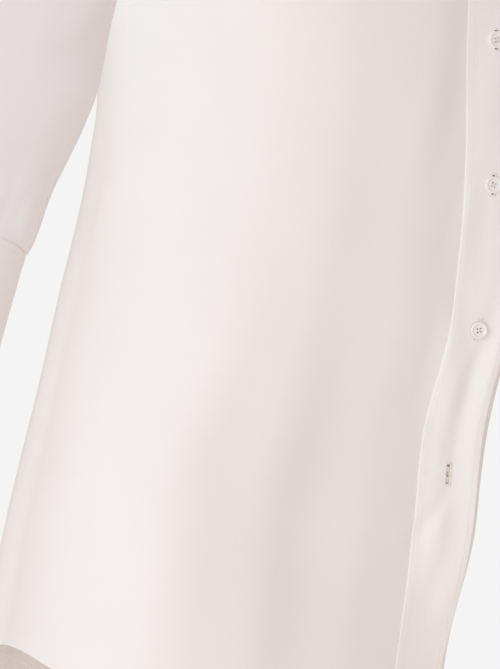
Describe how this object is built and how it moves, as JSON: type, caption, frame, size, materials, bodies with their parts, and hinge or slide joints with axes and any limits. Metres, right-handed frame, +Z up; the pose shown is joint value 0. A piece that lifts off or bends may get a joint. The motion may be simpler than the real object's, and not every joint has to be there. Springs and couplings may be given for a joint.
{
  "type": "women's poplin shirt",
  "caption": "Women's white poplin shirt, long and flared, worn and empty: collar, yoke, buttoned front band, set-in sleeves with cuffs and a curved shirt-tail hem.",
  "frame": {"origin": "middle of the neck opening at the height of the side neck points, where the wearer's neck stands", "axes": "+Z up along the wearer, -Y the way the wearer faces, +X to the wearer's left"},
  "size_m": [0.7412, 0.3605, 0.9284],
  "materials": {
    "body_cloth": "crisp white cotton poplin, plain weave",
    "button": "white, softly polished"
  },
  "bodies": {
    "root": {"right_front": "body_cloth", "left_front": "body_cloth", "back": "body_cloth", "yoke": "body_cloth", "buttonhole_band": "body_cloth", "button_band": "body_cloth", "collar_stand": "body_cloth", "collar": "body_cloth", "right_sleeve": "body_cloth", "left_sleeve": "body_cloth", "right_sleeve_band": "body_cloth", "left_sleeve_band": "body_cloth", "right_cuff": "body_cloth", "left_cuff": "body_cloth", "front_button_0": "button", "front_button_1": "button", "front_button_2": "button", "front_button_3": "button", "front_button_4": "button", "front_button_5": "button", "front_button_6": "button", "stand_button": "button", "right_cuff_button": "button", "left_cuff_button": "button"}
  },
  "joints": []
}
